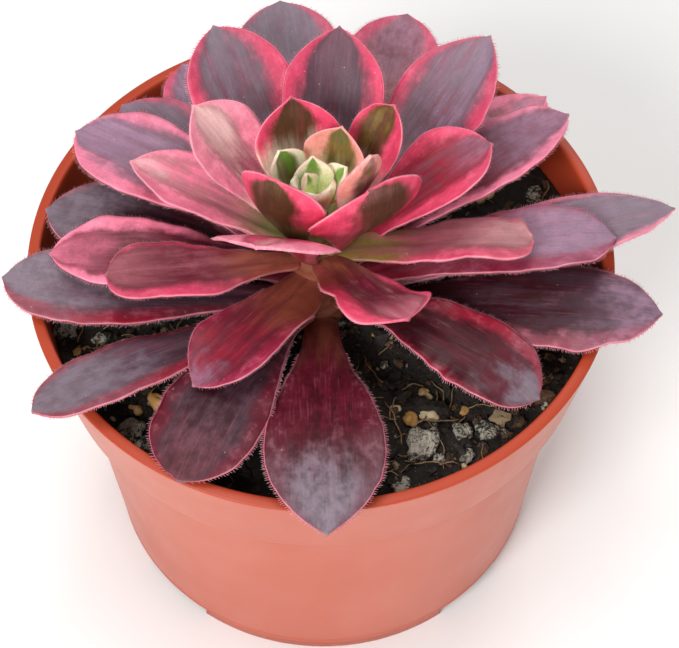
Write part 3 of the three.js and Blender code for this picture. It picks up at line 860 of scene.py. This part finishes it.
class AEONIUM_OT_heart(bpy.types.Operator):
    """Build the closed middle of the rosette, small leaves round a bud"""

    bl_idname = "aeonium.heart"
    bl_label = "Heart"

    def execute(self, context):
        total = bmesh.new()
        for index, (row, _) in enumerate(HEART):
            part = leaf_bmesh(Blade(row, start=1, seed=BUD_SHAPE_SEED + index, neck=0.5 * row[6]))
            for face in part.faces:
                face.material_index = index
            gather(total, part)
        part = bmesh.new()
        layers = leaf_layers(part)
        middle = Matrix.Translation(STEM_TOP + Vector((0, 0, 3.8))) @ Matrix.Diagonal((1, 1, 1.1, 1))
        bmesh.ops.create_uvsphere(part, u_segments=32, v_segments=20, radius=3.2, matrix=middle)
        for vert in part.verts:
            vert[layers["run"]], vert[layers["rim_mm"]] = 0.5, 3
        for face in part.faces:
            face.material_index = len(HEART) - 2
        gather(total, part)
        materials = [leaf_material(look, BUD_LOOK_SEED + index) for index, (_, look) in enumerate(HEART)]
        finish_piece(total, "heart_leaves", materials, "leaf_heart", ["leaf_heart"])
        return {"FINISHED"}


class AEONIUM_OT_stem(bpy.types.Operator):
    """Build the short stem that the leaves grow from"""

    bl_idname = "aeonium.stem"
    bl_label = "Stem"

    def execute(self, context):
        bark = bmesh.new()
        rows = 64
        bmesh.ops.create_circle(bark, cap_ends=True, segments=48, radius=1)
        loops = [bark.verts[:]]
        edges = bark.edges[:]
        for _ in range(rows):
            edges, ring = next_ring(bark, edges)
            loops.append(ring)
        for index, loop in enumerate(loops):
            z = lerp(STEM_FOOT.z, STEM_TOP.z, index / rows)
            for vert in loop:
                angle = atan2(vert.co.y, vert.co.x)
                scar = 0.22 * sin(z * 1.9 + 2 * sin(angle * 2))
                rough = 0.3 * noise.noise(Vector((cos(angle) * 2, sin(angle) * 2, z / 3)))
                radius = stem_radius(z) - 0.35 + scar + rough
                vert.co = stem_point(z) + level(angle, radius)
        close_tube(bark, edges)
        nodes = Material("stem_bark")
        place = nodes.place()
        rough = nodes.noise(nodes.scaled(place, (1, 1, 0.3)), 420, 5)
        patch = nodes.noise(nodes.scaled(place, (1, 1, 0.5)), 120, 2)
        height = nodes.add("SeparateXYZ", {0: place}).outputs["Z"]
        height = nodes.times(patch, 8 * MM, height)
        tint = nodes.layered(
            "3c241a",
            (rough, 0.35, 0.65, 1, "5c3628"),
            (height, 0.1, 0.112, 1, "864630"),
            (height, 0.122, 0.13, 1, "7c6a34"),
        )
        made = nodes.dress(tint, nodes.between(rough, 0.45, 0.7), rough, strength=0.5, depth=0.3)
        finish_piece(bark, "stem_bark", [made], "stem", ["stem"])
        return {"FINISHED"}


def collar_radius(z):
    return lerp(COLLAR_FOOT_RADIUS, POT_RADIUS, (z - LEDGE) / COLLAR_HEIGHT)


def body_radius(z):
    return lerp(BODY_FOOT_RADIUS, BODY_TOP_RADIUS, z / (LEDGE - COLLAR_STEP))


def inner_radius(z):
    """Radius of the pot's inner wall at height z of the collar."""
    low = LEDGE + WALL
    return lerp(collar_radius(low) - WALL, POT_RADIUS - RIM_WIDTH, (z - low) / (POT_HEIGHT - low))


def soil_height(x, y):
    """Height of the soil at a point, with its waves and mound."""
    r = hypot(x, y)
    waves = sin(x / 7.3 + 1) * cos(y / 6.1) + 0.7 * sin((x + y) / 4.4)
    mound = SOIL_MOUND * (1 - smooth(r / 40))
    return SOIL_TOP + mound + SOIL_BUMP * waves * (1 - smooth((r - 55) / 15))


def soil_surface(x, y):
    """The same with clods and pits."""
    rough = noise.fractal(Vector((x / 5.5, y / 5.5, 3)), 0.7, 2.1, 4)
    clods = abs(noise.noise(Vector((x / 2.6, y / 2.6, 9))))
    return soil_height(x, y) + 1.0 * rough - 0.9 * clods


def spun(profile, sides):
    """A profile of (radius, height) turned all the way round the pot's axis, with its poles closed."""
    body = bmesh.new()
    verts = [body.verts.new((r, 0, z)) for r, z in profile]
    line = verts + [body.edges.new(pair) for pair in zip(verts, verts[1:])]
    bmesh.ops.spin(body, geom=line, angle=2 * pi, steps=sides, axis=(0, 0, 1), cent=(0, 0, 0), use_merge=True)
    bmesh.ops.remove_doubles(body, verts=body.verts, dist=1e-4)
    bmesh.ops.recalc_face_normals(body, faces=body.faces)
    return body


class AEONIUM_OT_soil(bpy.types.Operator):
    """Build the soil that fills the pot"""

    bl_idname = "aeonium.soil"
    bl_label = "Soil"

    def execute(self, context):
        look = context.scene.aeonium_soil
        edge = inner_radius(SOIL_TOP) - SOIL_GAP
        rings = 62
        profile = [(0, SOIL_TOP)] + [(edge * i / rings, SOIL_TOP) for i in range(1, rings + 1)]
        profile += [
            (inner_radius(LEDGE + WALL) - SOIL_GAP, LEDGE + WALL),
            (BODY_TOP_RADIUS - WALL - SOIL_GAP, LEDGE + WALL - COLLAR_STEP - 1),
            (BODY_FOOT_RADIUS - WALL - SOIL_GAP, SOIL_FOOT),
            (0, SOIL_FOOT),
        ]
        plug = spun(profile, 300)
        for vert in plug.verts:
            if vert.co.z > SOIL_TOP - 0.01:
                fade = 1 - 0.7 * smooth((hypot(vert.co.x, vert.co.y) - edge + 4) / 4)
                vert.co.z = lerp(SOIL_TOP, soil_surface(vert.co.x, vert.co.y), fade)
        finish_piece(plug, "soil_plug", [self.earth(look)], "soil", ["soil"])
        return {"FINISHED"}

    def earth(self, look):
        nodes = Material("soil_earth")
        place = nodes.place()
        clods = nodes.noise(place, 700, 6, 0.65)
        fibre = nodes.noise(nodes.scaled(place, (1, 0.25, 1)), 1500, 3)
        tint = nodes.layered(
            "120e0b",
            (clods, 0.35, 0.65, 1, look.earth),
            (fibre, 0.6, 0.75, 0.6, look.fibre),
        )
        tint = nodes.mix(nodes.specks(place, 1300, 0.08, 0.16), tint, look.perlite)
        return nodes.dress(tint, nodes.between(clods, 0.7, 0.98), clods, strength=0.9, depth=1.2)


def stones(places, draw, detail, roughness):
    """Irregular stones, given as (place, radius, squash), as one bmesh; each has a shade from 0 to 1."""
    total = bmesh.new()
    batch = 60
    for start in range(0, len(places), batch):
        part = bmesh.new()
        shade = part.verts.layers.float.new("shade")
        for place, radius, squash in places[start : start + batch]:
            turn = Matrix.Rotation(draw.uniform(0, 6.3), 4, "Z")
            turn @= Matrix.Rotation(draw.uniform(-0.5, 0.5), 4, "X")
            wide, deep = radius * draw.uniform(0.9, 1.25), radius * draw.uniform(0.65, 1)
            size = Matrix.Diagonal((wide, deep, radius * squash, 1))
            made = bmesh.ops.create_icosphere(part, subdivisions=detail, radius=1)["verts"]
            shift = Vector((draw.uniform(0, 90), 0, 0))
            tone = draw.random()
            for vert in made:
                lump = noise.noise(vert.co * 1.2 + shift) - 0.7 * abs(noise.noise(vert.co * 2.4 + shift))
                vert.co = vert.co * (1 + roughness * lump)
                vert[shade] = tone
            bmesh.ops.transform(part, matrix=Matrix.Translation(place) @ turn @ size, verts=made)
        gather(total, part)
    return total


def free_spot(draw, low, high):
    """A random spot on the soil between two distances from the pot's axis."""
    away = sqrt(draw.uniform(low**2, high**2))
    turn = draw.uniform(0, 2 * pi)
    return away * cos(turn), away * sin(turn)


def scattered(draw, sizes, nearest, gap, lift, squash):
    """Loose stones, in the form that stones() takes, at random spots clear of the stem and of the wall."""
    for radius in sizes:
        x, y = free_spot(draw, nearest, inner_radius(SOIL_TOP) - radius - gap)
        yield Vector((x, y, soil_surface(x, y) + lift * radius)), radius, draw.uniform(*squash)


def set_out(rows, lift, squash):
    """The stones of a table, in the same form."""
    return [(Vector((x, y, soil_height(x, y) + lift * radius)), radius, squash) for x, y, radius in rows]


class AEONIUM_OT_crumbs(bpy.types.Operator):
    """Scatter dark crumbs over the soil"""

    bl_idname = "aeonium.crumbs"
    bl_label = "Crumbs"

    def execute(self, context):
        look = context.scene.aeonium_soil
        draw = random.Random(look.seed)
        sizes = (
            look.crumb / MM * draw.uniform(0.35, 1) ** 1.6 * (2.2 if draw.random() < 0.05 else 1)
            for _ in range(look.crumbs)
        )
        places = list(scattered(draw, sizes, nearest=8, gap=0.6, lift=0.25, squash=(0.45, 0.9)))
        places += set_out(BARK_CHIPS, lift=0.2, squash=0.45)
        nodes = Material("soil_crumb")
        place = nodes.place()
        grain = nodes.noise(place, 900, 4)
        shade = nodes.times(nodes.noise(place, 190, 1), 0.25, nodes.attribute("shade"))
        tint = nodes.layered(
            "17110d",
            (grain, 0.35, 0.65, 1, look.earth),
            (shade, 0.5, 0.95, 0.8, look.fibre),
            (shade, 1.04, 1.08, 0.8, "a5906e"),
        )
        made = nodes.dress(tint, nodes.between(grain, 0.6, 0.95), grain, strength=0.7, depth=0.5)
        crumbs = stones(places, draw, detail=2, roughness=0.9)
        finish_piece(crumbs, "soil_crumbs", [made], "soil", smooth_faces=False)
        return {"FINISHED"}


# Pieces of bark in the soil: x, y and radius in millimetres about the pot's axis.
BARK_CHIPS = (
    (25.5, -38, 4.4), (31, -41, 2.8), (21, -35.5, 2.4), (50, -31, 3), (-52, -34, 2.6), (57, -20, 2.4),
    (46, 34, 3), (12, -55, 2.4), (-20, 60, 3),
)
# Grains that stand out of the soil: x, y and radius in millimetres about the pot's axis.
LARGE_PERLITE = (
    (-66.5, -15.5, 4.2), (-47, -46.5, 4.6), (25.5, -51.5, 4.6), (35.5, -46.8, 2.8), (42.8, -46.2, 3.2),
    (-44.2, -50.5, 2.4), (20.5, -62.6, 3), (36.5, -53.6, 2), (29.8, -54.6, 1.8), (-0.6, -18.5, 1.6),
    (58, 28, 2.6), (-30, 55, 3.4), (12, 60, 2.8), (-62, 18, 2.6),
)
LARGE_GRAVEL = (
    (-41.2, -39, 2.7), (-46.4, -40.2, 1.7), (-62.6, -22.6, 1.5), (-60.4, -22.3, 1.2), (27.2, -41.5, 2.5),
    (22.6, -43.4, 2.3), (19, -40.2, 1.5), (26.2, -34.2, 1.7), (27.8, -36, 1.5), (36.4, -40, 1.2),
    (46.2, -38.5, 1.3),
)


class AEONIUM_OT_grit(bpy.types.Operator):
    """Add the white perlite and the tan gravel"""

    bl_idname = "aeonium.grit"
    bl_label = "Perlite and Gravel"

    def execute(self, context):
        look = context.scene.aeonium_soil
        draw = random.Random(look.seed + 1)
        white = set_out(LARGE_PERLITE, lift=0.2, squash=0.65)
        sizes = (lerp(0.5, 2.3, draw.random() ** 2.4) for _ in range(look.lumps))
        white += scattered(draw, sizes, nearest=10, gap=1, lift=0.3, squash=(0.5, 0.9))
        tan = set_out(LARGE_GRAVEL, lift=0.25, squash=0.62)
        sizes = (lerp(0.8, 2.0, draw.random() ** 2) for _ in range(look.pebbles))
        tan += scattered(draw, sizes, nearest=12, gap=1, lift=0.3, squash=(0.6, 0.85))
        white = stones(white, draw, detail=3, roughness=0.65)
        finish_piece(white, "soil_perlite", [self.perlite(look)], "soil")
        tan = stones(tan, draw, detail=3, roughness=0.4)
        finish_piece(tan, "soil_gravel", [self.gravel(look)], "soil")
        return {"FINISHED"}

    def perlite(self, look):
        nodes = Material("perlite")
        place = nodes.place()
        dirt = nodes.noise(place, 1100, 5, 0.7)
        dark = nodes.times(nodes.noise(place, 260, 2), 0.55, dirt)
        tint = nodes.layered(look.perlite, (dark, 0.7, 0.86, 0.95, "1c1712"))
        height = nodes.times(dirt, 0.7, nodes.dots(place, 1500)["Distance"])
        return nodes.dress(tint, nodes.between(dirt, 0.7, 0.95), height, strength=0.9, depth=0.6)

    def gravel(self, look):
        nodes = Material("gravel")
        place = nodes.place()
        stain = nodes.noise(place, 330, 3)
        grain = nodes.noise(place, 2200, 3)
        shade = nodes.times(stain, 0.5, nodes.attribute("shade"))
        tint = nodes.layered(
            "cbb892",
            (shade, 0.4, 0.9, 1, look.gravel),
            (stain, 0.6, 0.72, 0.7, "7c5028"),
            (grain, 0.55, 0.75, 0.3, "5a4630"),
        )
        return nodes.dress(tint, nodes.between(grain, 0.4, 0.6), grain, strength=0.3, depth=0.2)


# How near a fine root comes to the wall, and how high its ends and its middle stand over the soil.
ROOT_CLEARANCE = 1.2
ROOT_LIFT = 0.45
ROOT_ARCH = 1.1
# Fine roots that lie on the soil: where each starts, the way it sets off, its length and how it bends.
LONG_ROOTS = (
    (18.5, -48, 20, 16, 0.10), (27, -43.5, -70, 15, -0.05), (24, -44, 10, 12, 0.03), (21, -55, 4, 14, 0.02),
    (12.5, -60.5, 40, 12, -0.16), (12, -60, 60, 9, -0.12), (19.5, -59, 60, 6, -0.2),
    (40.5, -49.5, -95, 8, 0.08), (-63, -20, 70, 12, 0.16), (-55, -26, 120, 9, -0.1), (57, 22, 60, 14, 0.05),
    (61, 14, 100, 12, -0.1), (-5, -58, 25, 11, 0.1), (5, -66, 10, 9, 0.1),
)


class AEONIUM_OT_roots(bpy.types.Operator):
    """Lay fine roots on the soil"""

    bl_idname = "aeonium.roots"
    bl_label = "Fine Roots"

    def execute(self, context):
        look = context.scene.aeonium_soil
        draw = random.Random(look.seed + 2)
        rows = list(LONG_ROOTS)
        for _ in range(look.roots):
            x, y = free_spot(draw, 16, 62)
            rows.append((x, y, draw.uniform(0, 360), draw.uniform(4, 13), draw.uniform(-0.2, 0.2)))
        total = bmesh.new()
        for row in rows:
            gather(total, self.root(draw, row, lerp(0.1, 0.2, draw.random())))
        nodes = Material("fine_root")
        tone = nodes.noise(nodes.place(), 500, 2)
        tint = nodes.layered("7c5c3a", (tone, 0.35, 0.65, 1, look.root))
        made = nodes.dress(tint, nodes.between(tone, 0.5, 0.7))
        finish_piece(total, "soil_roots", [made], "soil")
        return {"FINISHED"}

    def root(self, draw, row, radius):
        """A thin tube that follows the soil, kept inside the pot."""
        x, y, turn, length, bend = row
        heading = radians(turn)
        steps = max(6, int(length / 0.8))
        phase = draw.uniform(0, 6.3)
        limit = inner_radius(SOIL_TOP) - ROOT_CLEARANCE
        tube = bmesh.new()
        points = []
        for i in range(steps + 1):
            r = hypot(x, y)
            if r > limit:
                x, y = x * limit / r, y * limit / r
            lift = ROOT_LIFT + ROOT_ARCH * sin(pi * i / steps)
            points.append(Vector((x, y, soil_surface(x, y) + lift)))
            heading += bend * length / steps + 0.25 * sin(i * 0.9 + phase)
            x += cos(heading) * length / steps
            y += sin(heading) * length / steps
        made = bmesh.ops.create_circle(tube, cap_ends=True, segments=5, radius=radius)["verts"]
        way = (points[1] - points[0]).normalized()
        for vert in made:
            vert.co = way.to_track_quat("Z", "Y") @ vert.co + points[0]
        edges = tube.edges[:]
        for i in range(1, len(points)):
            edges, ring = next_ring(tube, edges)
            last = points[min(i + 1, len(points) - 1)]
            new_way = (last - points[i - 1]).normalized()
            swing = way.rotation_difference(new_way)
            shrink = 0.55 if i == len(points) - 1 else 1
            for vert in ring:
                vert.co = swing @ (vert.co - points[i - 1]) * shrink + points[i]
            way = new_way
        close_tube(tube, edges)
        return tube


class AEONIUM_OT_pot(bpy.types.Operator):
    """Build the plastic nursery pot"""

    bl_idname = "aeonium.pot"
    bl_label = "Pot"

    def execute(self, context):
        look = context.scene.aeonium_pot
        foot_in = BODY_FOOT_RADIUS - 2 * WALL
        rim_in = POT_RADIUS - RIM_WIDTH
        step = LEDGE - COLLAR_STEP
        bead = ((-0.4, -0.2), (0.35, 0.1), (0.5, 0.55), (0.35, 1.1), (0.05, 1.6))
        body = (FOOT_HEIGHT + 2.2, FOOT_HEIGHT + 3.4, LEDGE / 2, step - 1.4, step - 0.5)
        collar = (LEDGE + 0.8, LEDGE + 1.8, LEDGE + 13, POT_HEIGHT - 2.2, POT_HEIGHT - 1.2)
        inner = (POT_HEIGHT - 1.5, POT_HEIGHT - 5, LEDGE + WALL)
        profile = [
            (0, FOOT_HEIGHT),
            (foot_in, FOOT_HEIGHT),
            (foot_in, 0.3),
            (foot_in + 0.3, 0),
            (BODY_FOOT_RADIUS - 0.8, 0),
            (BODY_FOOT_RADIUS - 0.4, 0.4),
            *((BODY_FOOT_RADIUS + out, FOOT_HEIGHT + up) for out, up in bead),
            *((body_radius(z), z) for z in body),
            (BODY_TOP_RADIUS + 0.1, step),
            (COLLAR_FOOT_RADIUS - 1.6, LEDGE - 0.9),
            (COLLAR_FOOT_RADIUS - 0.7, LEDGE - 0.1),
            (COLLAR_FOOT_RADIUS - 0.2, LEDGE + 0.25),
            *((collar_radius(z), z) for z in collar),
            (POT_RADIUS - 0.14, POT_HEIGHT - 0.6),
            (POT_RADIUS - 0.2, POT_HEIGHT - 0.25),
            (POT_RADIUS - 0.6, POT_HEIGHT),
            (rim_in + 0.8, POT_HEIGHT),
            (rim_in + 0.3, POT_HEIGHT - 0.08),
            (rim_in, POT_HEIGHT - 0.5),
            *((inner_radius(z), z) for z in inner),
            (BODY_TOP_RADIUS - WALL, step - 1),
            (BODY_FOOT_RADIUS - WALL, FOOT_HEIGHT + FLOOR_THICKNESS),
            (0, FOOT_HEIGHT + FLOOR_THICKNESS),
        ]
        pot = spun(profile, look.sides)
        # The attribute made here is 1 on the rim and the inner wall, which take the painted-shade copy of the
        # plastic, and 0 on the outside, which takes the painted-lit copy.
        shaded_zone = pot.verts.layers.float.new("shaded_zone")
        for vert in pot.verts:
            r, z = hypot(vert.co.x, vert.co.y), vert.co.z
            outer = collar_radius(z) if z > LEDGE - 0.5 else body_radius(z)
            inside = z > FOOT_HEIGHT + 2 and r < outer - WALL / 2
            vert[shaded_zone] = 1 if inside or z > POT_HEIGHT - 0.5 else 0
        piece = finish_piece(pot, "pot_shell", [self.plastic(look)], "pot_plastic", ["pot"])
        self.cut(piece)
        return {"FINISHED"}

    def cut(self, piece):
        """Opens the foot ring between its feet and drills the drain holes."""
        tools = bmesh.new()
        width = 2 * BODY_FOOT_RADIUS * sin(radians(FOOT_GAP_DEG / 2))
        gap = Matrix.Translation((BODY_FOOT_RADIUS, 0, 0))
        gap @= Matrix.Diagonal((16, width, 2 * FOOT_HEIGHT - 0.02, 1))
        hole = Matrix.Translation((DRAIN_CIRCLE_RADIUS, 0, FOOT_HEIGHT))
        for i in range(FOOT_COUNT):
            bmesh.ops.create_cube(tools, size=1, matrix=turned(360 / FOOT_COUNT * (i + 0.5)) @ gap)
        for i in range(DRAIN_HOLE_COUNT):
            bmesh.ops.create_cone(
                tools,
                cap_ends=True,
                segments=40,
                radius1=DRAIN_HOLE_RADIUS,
                radius2=DRAIN_HOLE_RADIUS,
                depth=20,
                matrix=turned(360 / DRAIN_HOLE_COUNT * i) @ hole,
            )
        bmesh.ops.transform(tools, matrix=PLACE, verts=tools.verts)
        cutter = new_object(tools, "cutter")
        modifier = piece.modifiers.new("Cut", "BOOLEAN")
        modifier.object = cutter
        modifier.operation = "DIFFERENCE"
        modifier.solver = "EXACT"
        graph = bpy.context.evaluated_depsgraph_get()
        cut_mesh = bpy.data.meshes.new_from_object(piece.evaluated_get(graph))
        piece.modifiers.clear()
        piece.data = cut_mesh
        bpy.data.meshes.remove(cutter.data)

    def plastic(self, look):
        nodes = Material("pot_plastic")
        place = nodes.place()
        shaded_zone = nodes.ramp(nodes.attribute("shaded_zone"), 0.3, 0.7)
        cloud = nodes.noise(nodes.scaled(place, (1, 1, 0.5)), 26, 3)
        scuff = nodes.noise(place, 60, 5)
        # Painted light: the outside copy is paler for light and sheen and the inside copy is deeper for
        # shade, though both are one plastic.
        lit_outside = nodes.layered(look.lit_outside, (cloud, 0.35, 0.7, 0.16, "e39a88"))
        inside = nodes.layered(look.inside, (cloud, 0.4, 0.7, 0.3, "a03a20"))
        nodes.shader["Specular IOR Level"].default_value = 0.3
        tint = nodes.mix(shaded_zone, lit_outside, inside)
        return nodes.dress(tint, nodes.between(scuff, 0.36, 0.43), cloud, strength=0.08, depth=0.5)


class AEONIUM_OT_stage(bpy.types.Operator):
    """Set the floor, the lights and the camera"""

    bl_idname = "aeonium.stage"
    bl_label = "Stage"

    def execute(self, context):
        look = context.scene.aeonium_stage
        base = bmesh.new()
        bmesh.ops.create_grid(base, x_segments=8, y_segments=8, size=FLOOR_SIZE)
        floor = new_object(base, "floor")
        nodes = Material("floor_paper")
        tone = nodes.noise(nodes.place(), 3, 2)
        tint = nodes.layered(look.floor, (tone, 0.3, 0.7, 1, "f8f8f7"))
        floor.data.materials.append(nodes.dress(tint, 0.85))
        self.lights(context)
        self.camera(context, look)
        return {"FINISHED"}

    def lights(self, context):
        world = bpy.data.worlds.new("studio")
        context.scene.world = world
        world.use_nodes = True
        sky = world.node_tree.nodes["Background"].inputs
        sky["Color"].default_value = (1, 1, 1, 1)
        sky["Strength"].default_value = SKY_STRENGTH
        middle = Vector((POT_AXIS[0], POT_AXIS[1], AIM_HEIGHT))
        for name, (away, size, power) in LAMPS.items():
            light = bpy.data.lights.new(name, "AREA")
            light.size = size
            light.energy = power
            lamp = bpy.data.objects.new(name, light)
            lamp.location = middle + Vector(away)
            lamp.rotation_euler = (-Vector(away)).to_track_quat("-Z", "Y").to_euler()
            context.scene.collection.objects.link(lamp)

    def camera(self, context, look):
        target = PLACE @ CAMERA_TARGET
        away = Vector((0, -cos(look.elevation), sin(look.elevation))) * look.distance
        data = bpy.data.cameras.new("camera")
        data.lens = look.lens
        data.sensor_fit = "HORIZONTAL"
        data.sensor_width = 36
        data.clip_start = 0.01
        camera = bpy.data.objects.new("camera", data)
        camera.location = target + away
        camera.rotation_euler = (-away).to_track_quat("-Z", "Y").to_euler()
        context.scene.collection.objects.link(camera)
        context.scene.camera = camera
        context.scene.view_settings.view_transform = "Standard"


GROUPS = {
    "aeonium_leaf_shape": LeafShape,
    "aeonium_leaf_colours": LeafColours,
    "aeonium_soil": SoilLook,
    "aeonium_pot": PotLook,
    "aeonium_stage": StageLook,
}
OPERATORS = (
    AEONIUM_OT_pot,
    AEONIUM_OT_soil,
    AEONIUM_OT_crumbs,
    AEONIUM_OT_grit,
    AEONIUM_OT_roots,
    AEONIUM_OT_stem,
    AEONIUM_OT_leaves,
    AEONIUM_OT_hairs,
    AEONIUM_OT_heart,
    AEONIUM_OT_stage,
)


class AEONIUM_PT_sidebar(bpy.types.Panel):
    """Sizes, colours and pieces of the plant"""

    bl_label = "Aeonium"
    bl_idname = "AEONIUM_PT_sidebar"
    bl_space_type = "VIEW_3D"
    bl_region_type = "UI"
    bl_category = "Aeonium"

    def draw(self, context):
        for name, group in GROUPS.items():
            box = self.layout.box()
            box.label(text=name.removeprefix("aeonium_").replace("_", " ").title())
            for key in group.__annotations__:
                box.prop(getattr(context.scene, name), key)
        for operator in OPERATORS:
            self.layout.operator(operator.bl_idname)


def register():
    for kind in (*GROUPS.values(), *OPERATORS, AEONIUM_PT_sidebar):
        bpy.utils.register_class(kind)
    for name, group in GROUPS.items():
        setattr(bpy.types.Scene, name, bpy.props.PointerProperty(type=group))


def unregister():
    for name in GROUPS:
        delattr(bpy.types.Scene, name)
    for kind in (AEONIUM_PT_sidebar, *reversed(OPERATORS), *reversed(GROUPS.values())):
        bpy.utils.unregister_class(kind)


def main():
    register()
    for operator in OPERATORS:
        space, verb = operator.bl_idname.split(".")
        getattr(getattr(bpy.ops, space), verb)()


if __name__ == "__main__":
    main()
